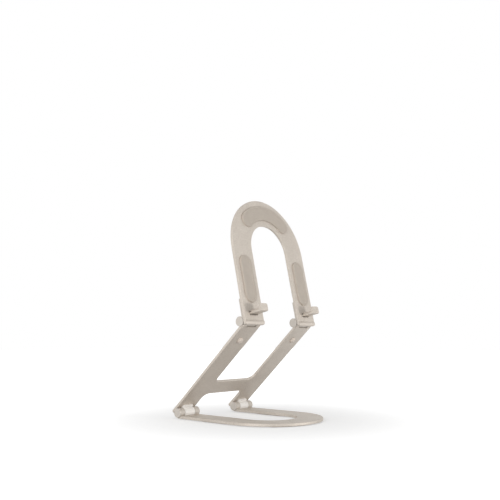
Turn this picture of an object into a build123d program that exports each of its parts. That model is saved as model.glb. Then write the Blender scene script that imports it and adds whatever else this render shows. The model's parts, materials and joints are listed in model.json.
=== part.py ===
"""Folding tablet stand: a horseshoe base, an H-shaped arm and a horseshoe support plate,
joined by two pairs of friction hinges.

Millimetres, +Z up, the front faces -Y and the stand is symmetric about X = 0.
The origin is on the table, under the middle of the stand's bounding box.
"""
import math
import os

from build123d import *

# ---------------------------------------------------------------- driving sizes
# Plates
plate_t = 3.0              # base, arm and support plates
edge_break = 0.35          # chamfer round every plate
half_width = 61.7          # base and arm, from the middle to the outer edge
leg_width = 28.9           # legs of the base and of the arm
base_reach = 144.1         # lower hinge axis to the front tip of the base
base_pad_t = 1.0           # silicone under the base

# Arm
arm_angle = 42.58          # arm above horizontal in the pose that is modelled
axis_spacing = 138.7       # lower axis to upper axis, measured along the arm
arm_heel = 6.75            # arm plate below the lower axis
crossbar_start = 24.2      # lower edge of the crossbar, above the lower axis
crossbar_width = 21.0
crossbar_fillet = 8.0      # inner corners between crossbar and legs
heel_corner = 1.5          # rounded corners at the bottom of the arm's legs
bumper_from_axis = 115.6   # bumper centre above the lower axis, along the arm
bumper_d = 7.0
bumper_height = 2.3
bumper_stem_d = 3.4
bumper_flange_d = 5.2
bumper_flange_t = 0.9

# Support
support_lean = 12.29       # support plate back from vertical in the pose that is modelled
support_length = 150.0     # along the plate
support_overhang = 5.2     # plate below the upper axis
support_extra = 1.2        # support legs and barrels wider than arm legs, on each side
support_corner = 1.8       # rounded lower corners of the legs
swell_height = 0.75        # how far the lower end of each leg swells forward
swell_length = 4.8         # length of that swelling along the leg
support_pad_t = 2.0        # silicone on the front face
support_pad_width = 18.0
support_pad_start = 19.0   # lower end of the side pads above the upper axis
support_pad_length = 54.0

# Hooks that carry the tablet
hook_width = 12.4
hook_t = 2.0
hook_foot_t = 1.8
hook_foot_top = 24.0       # upper end of the foot above the upper axis
ledge_height = 9.7         # tablet's lower edge above the upper axis
hook_reach = 15.6          # support's front face to the front of the lip
lip_top = 14.4             # top of the lip above the upper axis
lip_corner = 2.0
hook_bend = 1.6            # outside of the bend between arm and lip
ledge_liner_t = 1.5        # silicone on the arm
lip_liner_t = 0.5          # silicone inside the lip
liner_inset = 0.4          # liner narrower than the hook, on each side
liner_start = 1.4          # liner begins this far in front of the plate
hook_slot_bottom = 4.9     # lower edge of the slot in the plate, above the upper axis
hook_slot_gap = 1.4        # slot above the hook's arm
hook_side_gap = 0.3        # slot wider than the hook, on each side

# Friction hinges, the same four times
barrel_r = 5.3
barrel_sink = 2.2          # how deep the barrel sits in the plate that carries it
swing_gap = 0.3            # round the barrel, where something swings past it
arm_hollow = 0.5           # depth of the hollow across the arm's front for the lower barrel
support_gap = 0.35         # upper barrel to the support's rear face
outer_knuckle = 6.85       # length of each knuckle on the host plate
washer_t = 0.4             # friction washers between the knuckles
washer_r = 4.6
cap_t = 0.8
cap_spigot = 0.25
web_t = 1.8                # solid wall of an outer knuckle
counterbore_r = 3.9
pin_r = 2.0
pin_head_r = 3.5
pin_head_t = 2.0
spring_count = 3
spring_t = 0.45
spring_r = 3.6
nut_r = 3.5
nut_t = 1.9
pin_past_nut = 0.2
running_gap = 0.05         # radial, pin in the outer knuckles
fixed_gap = 0.02           # radial, pieces that don't turn in each other
block_margin = 0.1         # lower block's full-thickness part, past the barrel's seat
notch_depth = 2.2          # through notch for the leaf's knuckle, forward of the axis
tongue_t = 1.2
tongue_end = 19.6          # end of the tongue, from the axis
tongue_inset = 3.45        # tongue narrower than the leg, on each side
tongue_screw_inset = 4.0   # screws from the tongue's edge
tongue_gap = 0.1
cap_rim = 0.4
lower_leaf_t = 2.0
lower_leaf_end = 6.8
lower_screw_inset = 3.4    # screws from the leaf's edge
upper_leaf_t = 1.4
upper_leaf_start = 2.0     # where the leaf widens, above the axis
upper_leaf_bridge = 5.8    # where the fork opens
upper_leaf_end = 24.0
upper_screw_inset = 4.65   # screws from the leaf's edge
fork_gap = 0.4             # leaf fork to hook foot

# Screws: shank radius, head radius, head height
small_screw = (1.0, 1.9, 0.9)
screw_grip = 1.4           # thread in the second piece
hex_r = 0.75
hex_depth = 0.6

# Feet under the base
base_pad_width = 20.0
base_pad_start = 28.0      # from the lower axis
base_pad_length = 48.0
pad_arc = 84.0             # degrees covered by the curved pads

# ---------------------------------------------------------------- worked out
axis_to_host = barrel_r - barrel_sink
axis_to_arm = barrel_r + swing_gap - arm_hollow
axis_to_support = barrel_r + support_gap
end_block = math.sqrt(barrel_r ** 2 - axis_to_host ** 2) + block_margin
leg_x = half_width - leg_width / 2
inner_half = half_width - leg_width
axis_z = base_pad_t + plate_t + axis_to_host
leg_half = leg_width / 2
hinge_half = leg_half + support_extra
base_bottom = -axis_to_host - plate_t
swing_r = barrel_r + swing_gap
knuckle_end = hinge_half - cap_t
knuckle_start = knuckle_end - outer_knuckle
centre_knuckle = 2 * (knuckle_start - washer_t)
tongue_half = leg_half - tongue_inset
support_half = half_width + support_extra
support_inner = inner_half - support_extra
arm_rad = math.radians(arm_angle)
lean_rad = math.radians(support_lean)

# Where the axes are: the front tip and the arm's heel are equally far from the origin.
heel_behind_axis = arm_heel * math.cos(arm_rad) + (axis_to_arm + plate_t) * math.sin(arm_rad)
axis_y = (base_reach - heel_behind_axis) / 2

base_frame = Plane(origin=(0, axis_y, axis_z), x_dir=(1, 0, 0), z_dir=(0, 0, 1))
arm_frame = Plane(
    origin=(0, axis_y, axis_z),
    x_dir=(1, 0, 0),
    z_dir=(0, -math.sin(arm_rad), -math.cos(arm_rad)),
)
axis_depth = axis_to_arm + plate_t + axis_to_host
upper_axis = arm_frame.from_local_coords((0, axis_spacing, -axis_depth))
host_frame = Plane(origin=upper_axis, x_dir=(1, 0, 0), z_dir=arm_frame.z_dir)
support_frame = Plane(
    origin=upper_axis,
    x_dir=(1, 0, 0),
    z_dir=(0, -math.cos(lean_rad), math.sin(lean_rad)),
)


# ---------------------------------------------------------------- helpers
def slab(x0, x1, y0, y1, z0, z1):
    """Box between two corners."""
    size = (abs(x1 - x0), abs(y1 - y0), abs(z1 - z0))
    return Pos((x0 + x1) / 2, (y0 + y1) / 2, (z0 + z1) / 2) * Box(*size)


def rod_x(r, x0, x1):
    """Cylinder on the X axis."""
    return Pos((x0 + x1) / 2, 0, 0) * Rot(0, 90, 0) * Cylinder(r, x1 - x0)


def tube_x(r_out, r_in, x0, x1):
    return rod_x(r_out, x0, x1) - rod_x(r_in, x0 - 1, x1 + 1)


def rod_z(r, x, y, z0, z1):
    """Cylinder along Z."""
    return Pos(x, y, (z0 + z1) / 2) * Cylinder(r, abs(z1 - z0))


def plate(sketch, z0, thickness):
    """Flat plate with both rims broken."""
    solid = extrude(Pos(0, 0, z0) * sketch, thickness)
    rims = solid.faces().sort_by(Axis.Z)[0].edges() + solid.faces().sort_by(Axis.Z)[-1].edges()
    return chamfer(rims, edge_break)


def rounded_pad(sketch, z0, thickness, rim):
    """Soft pad with its rim on the far side rounded: z0 is the glued face."""
    solid = extrude(Pos(0, 0, z0) * sketch, thickness)
    outer = solid.faces().sort_by(Axis.Z)[-1 if thickness > 0 else 0]
    return fillet(outer.edges(), rim)


def screw(x, y, z_head, length, sizes=small_screw):
    """Countersunk screw that points along +Z, with a hexagon socket."""
    shank_r, head_r, head_h = sizes
    body = rod_z(shank_r, x, y, z_head, z_head + length)
    head = Pos(x, y, z_head + head_h / 2) * Cone(head_r, shank_r, head_h)
    socket = Pos(x, y, z_head) * extrude(RegularPolygon(hex_r, 6), hex_depth)
    return body + head - socket


def screw_hole(x, y, z_head, length, sizes=small_screw):
    """The hole that a screw of the same place and length sits in."""
    shank_r, head_r, head_h = sizes
    hole = rod_z(shank_r + fixed_gap, x, y, z_head - 1, z_head + length + fixed_gap)
    mouth = Pos(x, y, z_head + head_h / 2) * Cone(head_r + fixed_gap, shank_r + fixed_gap, head_h)
    return hole + mouth


def both_sides(x_list, y_list):
    return [(x, y) for x in x_list for y in y_list]


written = []


def save(name, frame, solids):
    """Write one node, placed in its frame."""
    placed = [frame.location * s for s in solids]
    shape = placed[0] if len(placed) == 1 else Compound(children=placed)
    export_step(shape, f"parts/{name}.step")
    written.append(name)


def save_pair(name, frame, solids):
    """Write a node for the right leg and its mirror image for the left leg."""
    right = [Pos(leg_x, 0, 0) * s for s in solids]
    save(f"{name}_right", frame, right)
    save(f"{name}_left", frame, [mirror(s, about=Plane.YZ) for s in right])


# ---------------------------------------------------------------- screw places
tongue_screw_x = tongue_half - tongue_screw_inset
tongue_screws = both_sides([-tongue_screw_x, tongue_screw_x], [-10.0, -16.0])
tongue_screw_length = tongue_t + screw_grip
lower_screw_x = centre_knuckle / 2 - lower_screw_inset
lower_leaf_screws = both_sides([-lower_screw_x, lower_screw_x], [4.4])
lower_leaf_screw_length = plate_t + lower_leaf_t - 0.3
upper_screw_x = hinge_half - upper_screw_inset
upper_leaf_screws = both_sides([-upper_screw_x, upper_screw_x], [9.0, 19.5])
upper_leaf_screw_length = upper_leaf_t + screw_grip
hook_screws = both_sides([0.0], [14.0, 20.0])
hook_screw_length = hook_foot_t + screw_grip


# ---------------------------------------------------------------- hinge pieces
def outer_knuckles():
    """The two cylinders that the host plate carries, before they are hollowed."""
    return (rod_x(barrel_r, knuckle_start, knuckle_end)
            + rod_x(barrel_r, -knuckle_end, -knuckle_start))


def finish_block(block, tongue_z):
    """Bore, counterbores, room for the leaf's knuckle, and the screw holes of the tongue."""
    block -= rod_x(swing_r, -knuckle_start, knuckle_start)
    block -= rod_x(pin_r + running_gap, -hinge_half, hinge_half)
    bore_start = knuckle_start + web_t
    block -= rod_x(counterbore_r, bore_start, hinge_half)
    block -= rod_x(counterbore_r, -hinge_half, -bore_start)
    for x, y in tongue_screws:
        block -= screw_hole(x, y, tongue_z, tongue_screw_length)
    return block


def lower_block():
    """Knuckles on the last few millimetres of the base's leg, with a tongue under the plate."""
    block = outer_knuckles()
    block += slab(-leg_half, leg_half, -end_block, 0, base_bottom, -axis_to_host)
    block += slab(-tongue_half, tongue_half, -tongue_end, -end_block, base_bottom, base_bottom + tongue_t)
    block -= slab(-knuckle_start, knuckle_start, -notch_depth, 1, base_bottom - 1, 0)
    return finish_block(block, base_bottom)


def upper_block():
    """Knuckles that sit in grooves across the arm, with a tongue let into its rear face."""
    block = outer_knuckles()
    block += slab(-tongue_half, tongue_half, -tongue_end, -notch_depth,
                  axis_to_host, axis_to_host + tongue_t)
    return finish_block(block, axis_to_host)


def end_caps():
    """One disc for each end of the barrel, with a spigot in the counterbore."""
    caps = []
    for sign in (-1, 1):
        face = sign * knuckle_end
        end = sign * hinge_half
        inner = sign * (knuckle_end - cap_spigot)
        disc = rod_x(barrel_r, min(face, end), max(face, end))
        rim = disc.edges().filter_by(GeomType.CIRCLE).sort_by(Axis.X)[-1 if sign > 0 else 0]
        disc = fillet(rim, cap_rim)
        disc += rod_x(counterbore_r - fixed_gap, min(face, inner), max(face, inner))
        caps.append(disc)
    return caps


def friction_washers():
    gap_start = centre_knuckle / 2
    return [
        tube_x(washer_r, pin_r + running_gap, gap_start, gap_start + washer_t),
        tube_x(washer_r, pin_r + running_gap, -gap_start - washer_t, -gap_start),
    ]


spring_start = knuckle_start + web_t
nut_start = spring_start + spring_count * spring_t
pin_end = nut_start + nut_t + pin_past_nut


def hinge_pin():
    """Shouldered pin: its head bears on one outer knuckle and its nut on the springs."""
    pin = rod_x(pin_r, -spring_start, pin_end)
    pin += rod_x(pin_head_r, -spring_start - pin_head_t, -spring_start)
    return pin


def spring_washers():
    rings = []
    for i in range(spring_count):
        start = spring_start + i * spring_t
        rings.append(tube_x(spring_r, pin_r + fixed_gap, start, start + spring_t))
    return rings


def lock_nut():
    nut = tube_x(nut_r, pin_r + fixed_gap, nut_start, nut_start + nut_t)
    for angle in (0, 90):
        slot = slab(nut_start + nut_t - 0.6, nut_start + nut_t + 1, -0.5, 0.5, -5, 5)
        nut -= Rot(angle, 0, 0) * slot
    return nut


def leaf_knuckle():
    """The part of either leaf that turns between the outer knuckles."""
    half = centre_knuckle / 2
    return rod_x(barrel_r, -half, half)


def lower_leaf():
    """Short leaf on the arm's front face."""
    half = centre_knuckle / 2
    flap = slab(-half, half, 0, lower_leaf_end, -axis_to_arm, lower_leaf_t - axis_to_arm)
    flap = fillet(flap.edges().filter_by(Axis.Z).group_by(Axis.Y)[-1], 1.0)
    leaf = leaf_knuckle() + flap
    leaf -= rod_x(pin_r + fixed_gap, -half - 1, half + 1)
    for x, y in lower_leaf_screws:
        leaf -= screw_hole(x, y, -axis_to_arm - plate_t, lower_leaf_screw_length)
    return leaf


def upper_leaf():
    """Leaf as wide as the support's leg, on its rear face, forked round the hook's foot.

    Its lower edge is hollowed so that it passes the outer knuckles.
    """
    half = centre_knuckle / 2
    near = axis_to_support - upper_leaf_t
    root = slab(-half, half, 0, upper_leaf_bridge, near, axis_to_support)
    wide = slab(-hinge_half, hinge_half, upper_leaf_start, upper_leaf_end, near, axis_to_support)
    wide = fillet(wide.edges().filter_by(Axis.Z).group_by(Axis.Y)[-1], 2.0)
    wide -= rod_x(swing_r, -hinge_half - 1, hinge_half + 1)
    leaf = leaf_knuckle() + root + wide
    opening = hook_width / 2 + fork_gap
    leaf -= slab(-opening, opening, upper_leaf_bridge, upper_leaf_end + 1, near - 1, axis_to_support + 1)
    leaf -= rod_x(pin_r + fixed_gap, -half - 1, half + 1)
    for x, y in upper_leaf_screws:
        leaf -= screw_hole(x, y, near, upper_leaf_screw_length)
    return leaf


def save_hinge(level, block_frame, leaf_frame, block, tongue_z, leaf):
    """Everything that both hinge levels share."""
    save_pair(f"{level}_knuckle_block", block_frame, [block])
    save_pair(f"{level}_hinge_caps", block_frame, end_caps())
    save_pair(f"{level}_friction_washers", block_frame, friction_washers())
    block_screws = [screw(x, y, tongue_z, tongue_screw_length) for x, y in tongue_screws]
    save_pair(f"{level}_block_screws", block_frame, block_screws)
    save_pair(f"{level}_leaf", leaf_frame, [leaf])
    save_pair(f"{level}_hinge_pin", leaf_frame, [hinge_pin()])
    save_pair(f"{level}_spring_washers", leaf_frame, spring_washers())
    save_pair(f"{level}_lock_nut", leaf_frame, [lock_nut()])


# ---------------------------------------------------------------- base
def horseshoe(outer, inner, centre_y, open_y):
    """U shape that is round at centre_y and ends square at open_y."""
    middle = (centre_y + open_y) / 2
    length = abs(open_y - centre_y)
    solid = Pos(0, middle) * Rectangle(2 * outer, length) + Pos(0, centre_y) * Circle(outer)
    gap = Pos(0, middle) * Rectangle(2 * inner, length + 2) + Pos(0, centre_y) * Circle(inner)
    return solid - gap


def curved_pad(centre_y, mid_r, width, degrees, toward):
    """Arc-shaped pad with round ends, centred on the +Y or the -Y side of a circle."""
    start = toward * 90 - degrees / 2
    arc = CenterArc((0, centre_y), mid_r, start, degrees)
    ring = Pos(0, centre_y) * (Circle(mid_r + width / 2) - Circle(mid_r - width / 2))
    reach = 4 * mid_r
    edge_a = Vector(reach, 0, 0).rotate(Axis.Z, start)
    edge_b = Vector(reach, 0, 0).rotate(Axis.Z, start + degrees)
    wedge = Pos(0, centre_y) * Polygon((0, 0), (edge_a.X, edge_a.Y), (edge_b.X, edge_b.Y), align=None)
    pad = ring & wedge
    for t in (0, 1):
        end = arc @ t
        pad += Pos(end.X, end.Y) * Circle(width / 2)
    return pad


base_round_y = -(base_reach - half_width)
tongue_room = tongue_half + tongue_gap


def base_plate():
    outline = horseshoe(half_width, inner_half, base_round_y, 0)
    solid = plate(outline, base_bottom, plate_t)
    solid -= slab(-half_width - 1, half_width + 1, -end_block, 1, base_bottom - 1, 0)
    for x in (-leg_x, leg_x):
        solid -= slab(x - tongue_room, x + tongue_room, -tongue_end - tongue_gap, 0,
                      base_bottom - 1, base_bottom + tongue_t)
        solid -= rod_x(swing_r, x - knuckle_start, x + knuckle_start)
        for sx, sy in tongue_screws:
            solid -= screw_hole(x + sx, sy, base_bottom, tongue_screw_length)
    return solid


def base_side_pad():
    middle = -base_pad_start - base_pad_length / 2
    outline = Pos(0, middle) * RectangleRounded(base_pad_width, base_pad_length, base_pad_width / 2 - 0.01)
    return rounded_pad(outline, base_bottom, -base_pad_t, 0.3)


def base_front_pad():
    outline = curved_pad(base_round_y, half_width - leg_width / 2, base_pad_width, pad_arc, -1)
    return rounded_pad(outline, base_bottom, -base_pad_t, 0.3)


# ---------------------------------------------------------------- arm
arm_front = -axis_to_arm
arm_rear = arm_front - plate_t


def arm_plate():
    """H-shaped plate that ends at the upper axis, with grooves for both pairs of barrels."""
    outline = Pos(0, (axis_spacing - arm_heel) / 2) * Rectangle(2 * half_width, axis_spacing + arm_heel)
    crossbar_end = crossbar_start + crossbar_width
    far = 400.0
    lower_gap = Pos(0, crossbar_start - far / 2) * RectangleRounded(2 * inner_half, far, crossbar_fillet)
    upper_gap = Pos(0, crossbar_end + far / 2) * RectangleRounded(2 * inner_half, far, crossbar_fillet)
    outline = outline - lower_gap - upper_gap
    outline = fillet(outline.vertices().group_by(Axis.Y)[0], heel_corner)
    solid = plate(outline, arm_rear, plate_t)
    upper = Pos(0, axis_spacing, -axis_depth)
    edge = half_width + 1
    solid -= rod_x(swing_r, -edge, edge)
    solid -= upper * rod_x(barrel_r + fixed_gap, -edge, edge)
    for x in (-leg_x, leg_x):
        solid -= upper * rod_x(swing_r, x - knuckle_start, x + knuckle_start)
        solid -= slab(x - knuckle_start, x + knuckle_start, axis_spacing - notch_depth,
                      axis_spacing + 1, arm_rear - 1, arm_front + 1)
        solid -= rod_z(bumper_stem_d / 2 + fixed_gap, x, bumper_from_axis, arm_rear - 1, arm_front + 1)
        solid -= slab(x - tongue_room, x + tongue_room, axis_spacing - tongue_end - tongue_gap,
                      axis_spacing + 1, arm_rear - 1, arm_rear + tongue_t)
        for sx, sy in tongue_screws:
            solid -= screw_hole(x + sx, axis_spacing + sy, arm_rear, tongue_screw_length)
        for sx, sy in lower_leaf_screws:
            solid -= screw_hole(x + sx, sy, arm_rear, lower_leaf_screw_length)
    return solid


def bumper():
    """Push-fit silicone buffer: domed head in front, stem through the arm, flange behind."""
    head = rod_z(bumper_d / 2, 0, bumper_from_axis, arm_front, arm_front + bumper_height)
    head = fillet(head.edges().filter_by(GeomType.CIRCLE).sort_by(Axis.Z)[-1], 1.4)
    stem = rod_z(bumper_stem_d / 2, 0, bumper_from_axis, arm_rear, arm_front)
    flange = rod_z(bumper_flange_d / 2, 0, bumper_from_axis, arm_rear - bumper_flange_t, arm_rear)
    return head + stem + flange


# ---------------------------------------------------------------- support
support_rear = axis_to_support
support_front = support_rear + plate_t
support_round_y = support_length - support_overhang - support_half
hook_top = ledge_height - ledge_liner_t
hook_bottom = hook_top - hook_t


def leg_swelling(outline):
    """Flat arc-shaped swelling across the front of the legs' lower ends."""
    swell_r = (swell_height ** 2 + (swell_length / 2) ** 2) / (2 * swell_height)
    middle_y = -support_overhang + edge_break + swell_length / 2
    arc = Pos(0, middle_y, support_front + swell_height - swell_r) * rod_x(
        swell_r, -support_half, support_half)
    room = extrude(Pos(0, 0, support_front - edge_break) * offset(outline, -edge_break),
                   edge_break + swell_height)
    return arc & room


def support_plate():
    outline = horseshoe(support_half, support_inner, support_round_y, -support_overhang)
    outline = fillet(outline.vertices().group_by(Axis.Y)[0], support_corner)
    solid = plate(outline, support_rear, plate_t) + leg_swelling(outline)
    for x in (-leg_x, leg_x):
        slot_half = hook_width / 2 + hook_side_gap
        solid -= slab(x - slot_half, x + slot_half, hook_slot_bottom, hook_top + hook_slot_gap,
                      support_rear - 1, support_front + 1)
        for sx, sy in upper_leaf_screws:
            solid -= screw_hole(x + sx, sy, support_rear - upper_leaf_t, upper_leaf_screw_length)
        for sx, sy in hook_screws:
            solid -= screw_hole(x + sx, sy, support_rear - hook_foot_t, hook_screw_length)
    return solid


def hook():
    """J-shaped hook through the slot: foot behind the plate, arm and lip in front."""
    half = hook_width / 2
    foot_z = support_rear - hook_foot_t
    tip_z = support_front + hook_reach
    foot = slab(-half, half, hook_bottom, hook_foot_top, foot_z, support_rear)
    foot = fillet(foot.edges().filter_by(Axis.Z).group_by(Axis.Y)[-1], 1.0)
    arm = slab(-half, half, hook_bottom, hook_top, foot_z, tip_z)
    lip = slab(-half, half, hook_bottom, lip_top, tip_z - hook_t, tip_z)
    lip = fillet(lip.edges().filter_by(Axis.Z).group_by(Axis.Y)[-1], lip_corner)
    solid = foot + arm + lip
    across = solid.edges().filter_by(Axis.X)
    bend = across.group_by(Axis.Z)[-1].sort_by(Axis.Y)[0]
    solid = fillet(bend, hook_bend)
    for x, y in hook_screws:
        solid -= screw_hole(x, y, foot_z, hook_screw_length)
    return solid


def hook_liner():
    """Silicone along the hook's arm and up the inside of its lip."""
    half = hook_width / 2 - liner_inset
    inner_z = support_front + hook_reach - hook_t
    along = slab(-half, half, hook_top, ledge_height, support_front + liner_start, inner_z)
    up = slab(-half, half, hook_top, lip_top - 0.8, inner_z - lip_liner_t, inner_z)
    return along + up


def support_side_pad():
    middle = support_pad_start + support_pad_length / 2
    outline = Pos(0, middle) * RectangleRounded(support_pad_width, support_pad_length,
                                                support_pad_width / 2 - 0.01)
    return rounded_pad(outline, support_front, support_pad_t, 0.6)


def support_top_pad():
    mid_r = (support_half + support_inner) / 2
    outline = curved_pad(support_round_y, mid_r, support_pad_width, pad_arc, 1)
    return rounded_pad(outline, support_front, support_pad_t, 0.6)


# ---------------------------------------------------------------- write every node
def main():
    os.makedirs("parts", exist_ok=True)
    save("base_plate", base_frame, [base_plate()])
    save_pair("base_pad", base_frame, [base_side_pad()])
    save("base_pad_front", base_frame, [base_front_pad()])

    save("arm_frame", arm_frame, [arm_plate()])
    save_pair("bumper", arm_frame, [bumper()])

    save("support_plate", support_frame, [support_plate()])
    save_pair("support_pad", support_frame, [support_side_pad()])
    save("support_pad_top", support_frame, [support_top_pad()])
    save_pair("hook", support_frame, [hook()])
    save_pair("hook_liner", support_frame, [hook_liner()])
    save_pair("hook_screws", support_frame, [screw(x, y, support_rear - hook_foot_t, hook_screw_length)
                                             for x, y in hook_screws])

    save_hinge("lower", base_frame, arm_frame, lower_block(), base_bottom, lower_leaf())
    save_pair("lower_leaf_screws", arm_frame, [screw(x, y, arm_rear, lower_leaf_screw_length)
                                               for x, y in lower_leaf_screws])
    save_hinge("upper", host_frame, support_frame, upper_block(), axis_to_host, upper_leaf())
    save_pair("upper_leaf_screws", support_frame, [
        screw(x, y, support_rear - upper_leaf_t, upper_leaf_screw_length)
        for x, y in upper_leaf_screws])
    print("nodes", len(written))
    print("lower axis y z", round(axis_y, 4), round(axis_z, 4))
    print("upper axis y z", round(upper_axis.Y, 4), round(upper_axis.Z, 4))


main()
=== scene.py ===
"""Looks of the folding tablet stand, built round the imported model.

Metres, +Z up, the front faces -Y. Anodised plates, friction-hinge barrels, silicone pads.
"""
import json
import math

import bmesh
import bpy
from mathutils import Matrix, Vector


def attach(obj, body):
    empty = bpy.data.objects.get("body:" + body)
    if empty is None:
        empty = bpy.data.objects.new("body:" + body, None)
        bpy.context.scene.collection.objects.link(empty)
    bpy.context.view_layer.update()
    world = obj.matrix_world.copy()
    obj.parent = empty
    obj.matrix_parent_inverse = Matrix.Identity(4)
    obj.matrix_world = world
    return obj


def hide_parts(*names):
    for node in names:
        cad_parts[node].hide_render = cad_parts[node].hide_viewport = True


MM = 0.001

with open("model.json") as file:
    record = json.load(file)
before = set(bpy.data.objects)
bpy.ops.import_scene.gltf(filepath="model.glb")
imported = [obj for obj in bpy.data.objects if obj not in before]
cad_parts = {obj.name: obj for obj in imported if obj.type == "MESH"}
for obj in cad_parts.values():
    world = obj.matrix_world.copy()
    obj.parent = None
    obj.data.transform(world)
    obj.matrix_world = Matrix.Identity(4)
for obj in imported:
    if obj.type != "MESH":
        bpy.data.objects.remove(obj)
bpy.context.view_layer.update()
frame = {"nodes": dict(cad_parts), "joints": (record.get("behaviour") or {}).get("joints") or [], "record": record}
scene = bpy.context.scene
nodes = frame["nodes"]


# ------------------------------------------------------------------ colours and nodes
def linear(hex_colour):
    """sRGB hex to linear RGBA."""
    channels = [int(hex_colour[i:i + 2], 16) / 255 for i in (1, 3, 5)]
    return [c / 12.92 if c <= 0.04045 else ((c + 0.055) / 1.055) ** 2.4 for c in channels] + [1.0]


def add_node(tree, kind, settings=None, inputs=None):
    """Add a node; an input is a value, or the output socket that feeds it."""
    node = tree.nodes.new(kind)
    for name, value in (settings or {}).items():
        setattr(node, name, value)
    for name, value in (inputs or {}).items():
        if isinstance(value, bpy.types.NodeSocket):
            tree.links.new(value, node.inputs[name])
        else:
            node.inputs[name].default_value = value
    return node


def new_material(name):
    """Material with a Principled shader; returns (material, tree, shader)."""
    material = bpy.data.materials.new(name)
    material.use_nodes = True
    tree = material.node_tree
    return material, tree, tree.nodes["Principled BSDF"]


def per_metre(size_mm):
    """Noise scale for a feature of this size."""
    return 1 / (size_mm * MM)


# ------------------------------------------------------------------ finishes
GRAIN_MM = 0.85          # blasting grain, drawn coarser than the real pits of about 0.1 mm
PIT_MM = 0.22            # its relief, which only close views show
CLOUD_MM = 24            # how far apart the dye's light and dark patches lie
PEBBLE_MM = 0.3          # mould texture of the silicone, drawn coarser than the real 0.1 mm
MOTTLE_MM = 0.5          # mottle of the zinc coat


def blasted_anodised(name, base, light, roughness, metal_share):
    """Aluminium, bead-blasted and dyed in the anodising bath: satin, with a very fine even
    grain, faint clouding where the dye took unevenly, and no visible direction.

    The oxide hides part of the metal's own reflection, so the metal share is below 1.
    """
    material, tree, shader = new_material(name)
    place = add_node(tree, "ShaderNodeTexCoord").outputs["Object"]
    speck = add_node(tree, "ShaderNodeTexNoise", None,
                     {"Vector": place, "Scale": per_metre(GRAIN_MM), "Detail": 3.0,
                      "Roughness": 0.7})
    cloud = add_node(tree, "ShaderNodeTexNoise", None,
                     {"Vector": place, "Scale": per_metre(CLOUD_MM), "Detail": 2.0})
    spread = add_node(tree, "ShaderNodeMapRange", None,
                      {"Value": speck.outputs["Fac"], "From Min": 0.3, "From Max": 0.7,
                       "To Min": 0.0, "To Max": 1.0})
    drift = add_node(tree, "ShaderNodeMapRange", None,
                     {"Value": cloud.outputs["Fac"], "From Min": 0.3, "From Max": 0.7,
                      "To Min": -0.12, "To Max": 0.12})
    both = add_node(tree, "ShaderNodeMath", {"operation": "ADD", "use_clamp": True},
                    {0: spread.outputs["Result"], 1: drift.outputs["Result"]})
    tint = add_node(tree, "ShaderNodeMix", {"data_type": "RGBA"},
                    {"Factor": both.outputs["Value"], "A": linear(base), "B": linear(light)})
    rough = add_node(tree, "ShaderNodeMapRange", None,
                     {"Value": speck.outputs["Fac"], "From Min": 0.3, "From Max": 0.7,
                      "To Min": roughness - 0.04, "To Max": roughness + 0.04})
    pits = add_node(tree, "ShaderNodeTexNoise", None,
                    {"Vector": place, "Scale": per_metre(PIT_MM), "Detail": 2.0})
    bump = add_node(tree, "ShaderNodeBump", None,
                    {"Height": pits.outputs["Fac"], "Strength": 0.3, "Distance": 0.03 * MM})
    tree.links.new(tint.outputs["Result"], shader.inputs["Base Color"])
    tree.links.new(rough.outputs["Result"], shader.inputs["Roughness"])
    tree.links.new(bump.outputs["Normal"], shader.inputs["Normal"])
    shader.inputs["Metallic"].default_value = metal_share
    return material


def moulded_silicone(name, base, light, roughness):
    """Silicone rubber pressed in a spark-eroded mould: matt, slightly soft-lit, fine pebbling."""
    material, tree, shader = new_material(name)
    place = add_node(tree, "ShaderNodeTexCoord").outputs["Object"]
    pebble = add_node(tree, "ShaderNodeTexNoise", None,
                      {"Vector": place, "Scale": per_metre(PEBBLE_MM), "Detail": 2.0})
    cloud = add_node(tree, "ShaderNodeTexNoise", None,
                     {"Vector": place, "Scale": per_metre(6), "Detail": 3.0})
    tint = add_node(tree, "ShaderNodeMix", {"data_type": "RGBA"},
                    {"Factor": cloud.outputs["Fac"], "A": linear(base), "B": linear(light)})
    bump = add_node(tree, "ShaderNodeBump", None,
                    {"Height": pebble.outputs["Fac"], "Strength": 0.4, "Distance": 0.04 * MM})
    tree.links.new(tint.outputs["Result"], shader.inputs["Base Color"])
    tree.links.new(bump.outputs["Normal"], shader.inputs["Normal"])
    shader.inputs["Roughness"].default_value = roughness
    shader.inputs["IOR"].default_value = 1.41
    shader.inputs["Sheen Weight"].default_value = 0.12
    shader.inputs["Sheen Roughness"].default_value = 0.5
    return material


def turned_steel(name, base, light, roughness):
    """Turned steel under a thin zinc coat: small fasteners, bright, with a faint mottle."""
    material, tree, shader = new_material(name)
    place = add_node(tree, "ShaderNodeTexCoord").outputs["Object"]
    mottle = add_node(tree, "ShaderNodeTexNoise", None,
                      {"Vector": place, "Scale": per_metre(MOTTLE_MM), "Detail": 4.0})
    tint = add_node(tree, "ShaderNodeMix", {"data_type": "RGBA"},
                    {"Factor": mottle.outputs["Fac"], "A": linear(base), "B": linear(light)})
    rough = add_node(tree, "ShaderNodeMapRange", None,
                     {"Value": mottle.outputs["Fac"], "To Min": roughness - 0.08,
                      "To Max": roughness + 0.08})
    tree.links.new(tint.outputs["Result"], shader.inputs["Base Color"])
    tree.links.new(rough.outputs["Result"], shader.inputs["Roughness"])
    shader.inputs["Metallic"].default_value = 1.0
    return material


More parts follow.
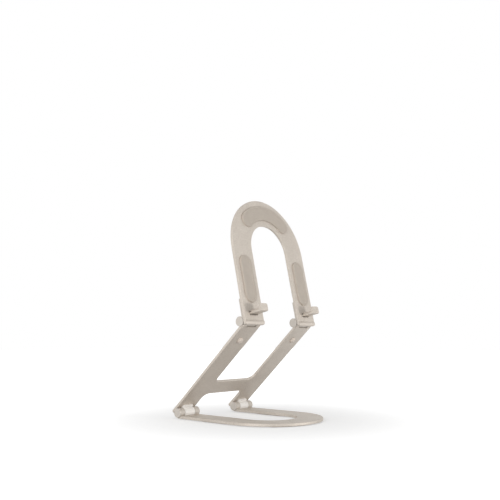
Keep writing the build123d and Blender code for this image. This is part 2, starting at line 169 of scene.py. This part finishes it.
def dark_acetal(name, base, light):
    """Acetal friction discs: dark, smooth and slightly waxy."""
    material, tree, shader = new_material(name)
    place = add_node(tree, "ShaderNodeTexCoord").outputs["Object"]
    cloud = add_node(tree, "ShaderNodeTexNoise", None, {"Vector": place, "Scale": per_metre(1.5)})
    tint = add_node(tree, "ShaderNodeMix", {"data_type": "RGBA"},
                    {"Factor": cloud.outputs["Fac"], "A": linear(base), "B": linear(light)})
    tree.links.new(tint.outputs["Result"], shader.inputs["Base Color"])
    shader.inputs["Roughness"].default_value = 0.42
    return material


plate_finish = blasted_anodised("blasted_anodised_aluminium_plate",
                                "#BAB0A5", "#D8D0C6", roughness=0.53, metal_share=0.4)
# The knuckle blocks and caps, blasted finer before the same bath.
barrel_finish = blasted_anodised("blasted_anodised_aluminium_barrel",
                                 "#C2BBB2", "#D1CAC2", roughness=0.6, metal_share=0.3)
# The lower leaves took almost no dye, so their knuckles stay pale.
leaf_finish = blasted_anodised("blasted_anodised_aluminium_leaf",
                               "#EAE6E1", "#F4F2EF", roughness=0.65, metal_share=0.15)
pad_finish = moulded_silicone("moulded_silicone_pad", "#B9AEA2", "#C5BBAF", 0.72)
bumper_finish = moulded_silicone("moulded_silicone_bumper", "#DACDC1", "#E5DACF", 0.6)
steel_finish = turned_steel("zinc_plated_steel", "#A9A6A0", "#C2BFB9", 0.32)
disc_finish = dark_acetal("moulded_dark_acetal", "#2A2A2B", "#363637")


def finish_of(node):
    """Which finish a CAD node has."""
    steel_words = ("screws", "pin", "spring", "lock_nut")
    if any(word in node for word in steel_words):
        return steel_finish
    if "friction" in node:
        return disc_finish
    if "bumper" in node:
        return bumper_finish
    if "pad" in node or "liner" in node:
        return pad_finish
    if "lower_leaf" in node:
        return leaf_finish
    if "leaf" in node or "knuckle" in node or "caps" in node:
        return barrel_finish
    return plate_finish


for name, node in nodes.items():
    node.data.materials.clear()
    node.data.materials.append(finish_of(name))


# ------------------------------------------------------------------ plate frames
def plate_frame(origin, normal):
    """Frame of a plate: x across the stand, y up the plate, z out of its front face."""
    z = Vector(normal).normalized()
    x = Vector((1, 0, 0))
    y = z.cross(x)
    turn = Matrix((x, y, z)).transposed().to_4x4()
    return Matrix.Translation(origin) @ turn


def extent(node, place):
    """Lowest and highest corner of a CAD node in a plate's frame."""
    back = place.inverted()
    points = [back @ v.co for v in nodes[node].data.vertices]
    low = Vector([min(p[i] for p in points) for i in range(3)])
    high = Vector([max(p[i] for p in points) for i in range(3)])
    return low, high


joints = {joint["name"]: joint for joint in frame["joints"]}
mounts = {mount["name"]: mount for mount in frame["record"]["mounts"]}
arm_angle = math.radians(42.58)     # arm above the table
lower_axis = joints["arm_hinge"]["pos_m"]
upper_axis = joints["support_hinge"]["pos_m"]
base_place = plate_frame(lower_axis, (0, 0, 1))
arm_place = plate_frame(lower_axis, (0, -math.sin(arm_angle), -math.cos(arm_angle)))
support_place = plate_frame(upper_axis, mounts["tablet_rest"]["axis"])


# ------------------------------------------------------------------ moulded pieces
def add_piece(name, shape, place, body, finish, slot, *stands_for):
    """Turn a finished bmesh, made in a plate's frame, into a piece that rides on a body."""
    bmesh.ops.remove_doubles(shape, verts=shape.verts, dist=0.001 * MM)
    bmesh.ops.transform(shape, matrix=place, verts=shape.verts)
    bmesh.ops.recalc_face_normals(shape, faces=shape.faces)
    mesh = bpy.data.meshes.new(name)
    shape.to_mesh(mesh)
    shape.free()
    mesh.shade_smooth()
    mesh.set_sharp_from_angle(angle=math.radians(35))
    mesh.materials.append(finish)
    piece = bpy.data.objects.new(name, mesh)
    scene.collection.objects.link(piece)
    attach(piece, body)
    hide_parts(*stands_for)
    return piece


def top_face(shape):
    """The face that lies highest."""
    return max(shape.faces, key=lambda face: face.calc_center_median().z)


def stadium_pad(width, length, thickness, rim):
    """Moulded pad with round ends, a rounded rim and a fine groove inside the rim.

    It lies on z = 0 along y, centred.
    """
    groove_from_edge = 2.0 * MM     # from the inner edge of the rounded rim
    groove_half = 0.3 * MM
    groove_depth = 0.3 * MM
    segments = 64
    shape = bmesh.new()
    bmesh.ops.create_circle(shape, cap_ends=True, radius=width / 2, segments=segments,
                            matrix=Matrix.Rotation(math.pi / segments, 4, "Z"))
    for vert in shape.verts:
        vert.co.y += math.copysign((length - width) / 2, vert.co.y)
    foot = shape.faces[:]
    raised = bmesh.ops.extrude_face_region(shape, geom=foot, use_keep_orig=True)
    lifted = [item for item in raised["geom"] if isinstance(item, bmesh.types.BMVert)]
    bmesh.ops.translate(shape, verts=lifted, vec=(0, 0, thickness))
    bmesh.ops.recalc_face_normals(shape, faces=shape.faces)
    bmesh.ops.bevel(shape, geom=top_face(shape).edges[:], offset=rim, segments=4,
                    profile=0.5, affect="EDGES", material=-1)
    face = top_face(shape)
    bmesh.ops.inset_region(shape, faces=[face], thickness=groove_from_edge)
    bmesh.ops.inset_region(shape, faces=[face], thickness=groove_half)
    bottom = face.verts[:]
    bmesh.ops.inset_region(shape, faces=[face], thickness=groove_half)
    bmesh.ops.translate(shape, verts=bottom, vec=(0, 0, -groove_depth))
    return shape


def bend_round(shape, mid_radius, length, toward):
    """Bend a pad that lies along y into an arc about the origin, on the +y or the -y side."""
    cuts = 28                       # so that each piece of the arc turns 3 to 4 degrees
    for cut in range(1, cuts):
        bmesh.ops.bisect_plane(shape, geom=shape.verts[:] + shape.edges[:] + shape.faces[:],
                               plane_co=(0, length * (cut / cuts - 0.5), 0), plane_no=(0, 1, 0))
    for vert in shape.verts:
        turn = vert.co.y / mid_radius
        reach = mid_radius + vert.co.x
        vert.co.x = reach * math.sin(turn)
        vert.co.y = toward * reach * math.cos(turn)


def straight_pad(node, place, body, rim):
    """A pad on one leg, from the size of its CAD node."""
    low, high = extent(node, place)
    upward = body == "support"
    shape = stadium_pad(high.x - low.x, high.y - low.y, high.z - low.z, rim)
    glued = low.z if upward else high.z
    turn = Matrix.Identity(4) if upward else Matrix.Rotation(math.pi, 4, "Y")
    middle = Vector(((low.x + high.x) / 2, (low.y + high.y) / 2, glued))
    bmesh.ops.transform(shape, matrix=Matrix.Translation(middle) @ turn, verts=shape.verts)
    add_piece(node + "_moulded", shape, place, body, pad_finish, "silicone", node)


def curved_pad(node, place, body, rim, width, mid_radius, sweep, toward):
    """The pad that follows the round end of a plate."""
    low, high = extent(node, place)
    upward = body == "support"
    length = mid_radius * math.radians(sweep) + width
    shape = stadium_pad(width, length, high.z - low.z, rim)
    bend_round(shape, mid_radius, length, toward)
    far = high.y if toward > 0 else low.y
    centre = Vector((0, far - toward * (mid_radius + width / 2), low.z if upward else high.z))
    turn = Matrix.Identity(4) if upward else Matrix.Rotation(math.pi, 4, "Y")
    bmesh.ops.transform(shape, matrix=Matrix.Translation(centre) @ turn, verts=shape.verts)
    add_piece(node + "_moulded", shape, place, body, pad_finish, "silicone", node)


pad_sweep = 84.0                    # degrees covered by the curved pads
pad_mid_radius = 47.25 * MM         # middle of the legs and of the round ends
support_rim, base_rim = 0.7 * MM, 0.3 * MM
support_pad_width, base_pad_width = 18 * MM, 20 * MM
for side in ("left", "right"):
    straight_pad("support_pad_" + side, support_place, "support", support_rim)
    straight_pad("base_pad_" + side, base_place, "base", base_rim)
curved_pad("support_pad_top", support_place, "support", support_rim,
           support_pad_width, pad_mid_radius, pad_sweep, 1)
curved_pad("base_pad_front", base_place, "base", base_rim,
           base_pad_width, pad_mid_radius, pad_sweep, -1)


def bumper(side):
    """Push-in buffer turned from one outline: domed head, stem through the arm, flange behind.

    The outline is (radius, height above the arm's face), from the crown to the back.
    """
    node = "bumper_" + side
    low, high = extent(node, arm_place)
    head_height = 2.3 * MM
    face = high.z - head_height     # the arm's front face
    outline_mm = [(0, 2.3), (1.2, 2.27), (2.1, 2.15), (2.75, 1.9), (3.2, 1.5), (3.44, 1.0),
                  (3.49, 0.4), (3.47, 0), (1.7, 0), (1.7, -3.0), (2.6, -3.0), (2.6, -3.55),
                  (2.3, -3.9), (0, -3.9)]
    shape = bmesh.new()
    verts = [shape.verts.new((r * MM, 0, z * MM)) for r, z in outline_mm]
    edges = [shape.edges.new(pair) for pair in zip(verts, verts[1:])]
    bmesh.ops.spin(shape, geom=verts + edges, cent=(0, 0, 0), axis=(0, 0, 1),
                   angle=2 * math.pi, steps=48, use_merge=True)
    middle = Vector(((low.x + high.x) / 2, (low.y + high.y) / 2, face))
    bmesh.ops.translate(shape, verts=shape.verts, vec=middle)
    add_piece(node + "_moulded", shape, arm_place, "arm", bumper_finish, "bumper_silicone", node)


def hook_liner(side):
    """Silicone strip along the hook's arm and up the inside of its lip, with soft edges."""
    node = "hook_liner_" + side
    low, high = extent(node, support_place)
    strip, lip = 1.5 * MM, 0.5 * MM     # thickness on the hook's arm and on its lip
    outline = [(low.y, low.z), (low.y + strip, low.z), (low.y + strip, high.z - lip),
               (high.y, high.z - lip), (high.y, high.z), (low.y, high.z)]
    shape = bmesh.new()
    face = shape.faces.new([shape.verts.new((low.x, y, z)) for y, z in outline])
    pulled = bmesh.ops.extrude_face_region(shape, geom=[face], use_keep_orig=True)
    moved = [item for item in pulled["geom"] if isinstance(item, bmesh.types.BMVert)]
    bmesh.ops.translate(shape, verts=moved, vec=(high.x - low.x, 0, 0))
    bmesh.ops.recalc_face_normals(shape, faces=shape.faces)
    bmesh.ops.bevel(shape, geom=shape.edges[:], offset=0.15 * MM, segments=3, profile=0.5,
                    affect="EDGES", material=-1)
    add_piece(node + "_moulded", shape, support_place, "support", pad_finish, "silicone", node)


for side in ("left", "right"):
    bumper(side)
    hook_liner(side)


# ------------------------------------------------------------------ floor, light and camera
def background_rays(tree):
    """1 for the rays that show the background: the camera's, and those off metal or in glass."""
    path = add_node(tree, "ShaderNodeLightPath")
    mirrored = add_node(tree, "ShaderNodeMath", {"operation": "MAXIMUM"},
                        {0: path.outputs["Is Glossy Ray"], 1: path.outputs["Is Transmission Ray"]})
    either = add_node(tree, "ShaderNodeMath", {"operation": "MAXIMUM"},
                      {0: path.outputs["Is Camera Ray"], 1: mirrored.outputs["Value"]})
    return either.outputs["Value"]


floor_half = 4.0                    # m
floor_mesh = bmesh.new()
bmesh.ops.create_grid(floor_mesh, x_segments=1, y_segments=1, size=floor_half)
floor_data = bpy.data.meshes.new("floor")
floor_mesh.to_mesh(floor_data)
floor_mesh.free()
floor = bpy.data.objects.new("floor", floor_data)
floor.location.z = -0.02 * MM       # just under the feet, so that the two faces don't coincide
scene.collection.objects.link(floor)

floor_paper = bpy.data.materials.new("matt_white_paper")
floor_paper.use_nodes = True
tree = floor_paper.node_tree
tree.nodes.clear()
seen = background_rays(tree)
paper = add_node(tree, "ShaderNodeBsdfDiffuse", None, {"Color": linear("#DADADA")})
# Near the stand the paper's own shade shows the soft shadow, and the glow is weaker there too, which paints a soft
# grey halo of shade round the stand; further out the glow rises and takes over, so the far paper stays white.
where = add_node(tree, "ShaderNodeTexCoord").outputs["Object"]
away = add_node(tree, "ShaderNodeVectorMath", {"operation": "LENGTH"}, {0: where}).outputs["Value"]
painted_halo_level = add_node(tree, "ShaderNodeMapRange", {"interpolation_type": "SMOOTHSTEP"},
                 {"Value": away, "From Min": 0.04, "From Max": 0.38,
                  "To Min": 0.41, "To Max": 1.0})
lift = add_node(tree, "ShaderNodeMath", {"operation": "MULTIPLY"},
                {0: seen, 1: painted_halo_level.outputs["Result"]})
glow = add_node(tree, "ShaderNodeEmission", None,
                {"Color": linear("#FFFFFF"), "Strength": lift.outputs["Value"]})
whole = add_node(tree, "ShaderNodeAddShader", None,
                 {0: paper.outputs["BSDF"], 1: glow.outputs["Emission"]})
add_node(tree, "ShaderNodeOutputMaterial", None, {"Surface": whole.outputs["Shader"]})
floor.data.materials.append(floor_paper)

world = bpy.data.worlds.new("studio")
scene.world = world
world.use_nodes = True
tree = world.node_tree
tree.nodes.clear()
seen = background_rays(tree)
backdrop = add_node(tree, "ShaderNodeBackground", None,
                    {"Color": linear("#FFFFFF"), "Strength": 1.0})
room = add_node(tree, "ShaderNodeBackground", None,
                {"Color": linear("#FBFBFB"), "Strength": 0.47})
choice = add_node(tree, "ShaderNodeMixShader", None,
                  {0: seen, 1: room.outputs["Background"], 2: backdrop.outputs["Background"]})
add_node(tree, "ShaderNodeOutputWorld", None, {"Surface": choice.outputs["Shader"]})


def soft_lamp(name, place, aim, size, power):
    """Square softbox at a place, aimed at a point."""
    data = bpy.data.lights.new(name, "AREA")
    data.shape = "SQUARE"
    data.size = size
    data.energy = power
    lamp = bpy.data.objects.new(name, data)
    lamp.location = place
    lamp.rotation_mode = "QUATERNION"
    lamp.rotation_quaternion = (Vector(aim) - Vector(place)).to_track_quat("-Z", "Y")
    scene.collection.objects.link(lamp)


middle = (0.0, 0.0, 0.1)
soft_lamp("front_right_softbox", (0.5, -1.5, 0.08), middle, 0.22, 9.5)
soft_lamp("left_softbox", (-1.6, -0.3, 0.35), middle, 1.1, 17)

# A 45.5 mm lens, low and to the front left, looking slightly up.
camera_data = bpy.data.cameras.new("camera")
camera_data.sensor_width = 36.0
camera_data.lens = 45.49
camera = bpy.data.objects.new("camera", camera_data)
camera.location = (-0.56592, -0.47887, 0.0914)
camera.rotation_mode = "QUATERNION"
camera.rotation_quaternion = Vector((0.7484, 0.6486, 0.1383)).to_track_quat("-Z", "Y")
scene.collection.objects.link(camera)
scene.camera = camera

scene.view_settings.view_transform = "Standard"
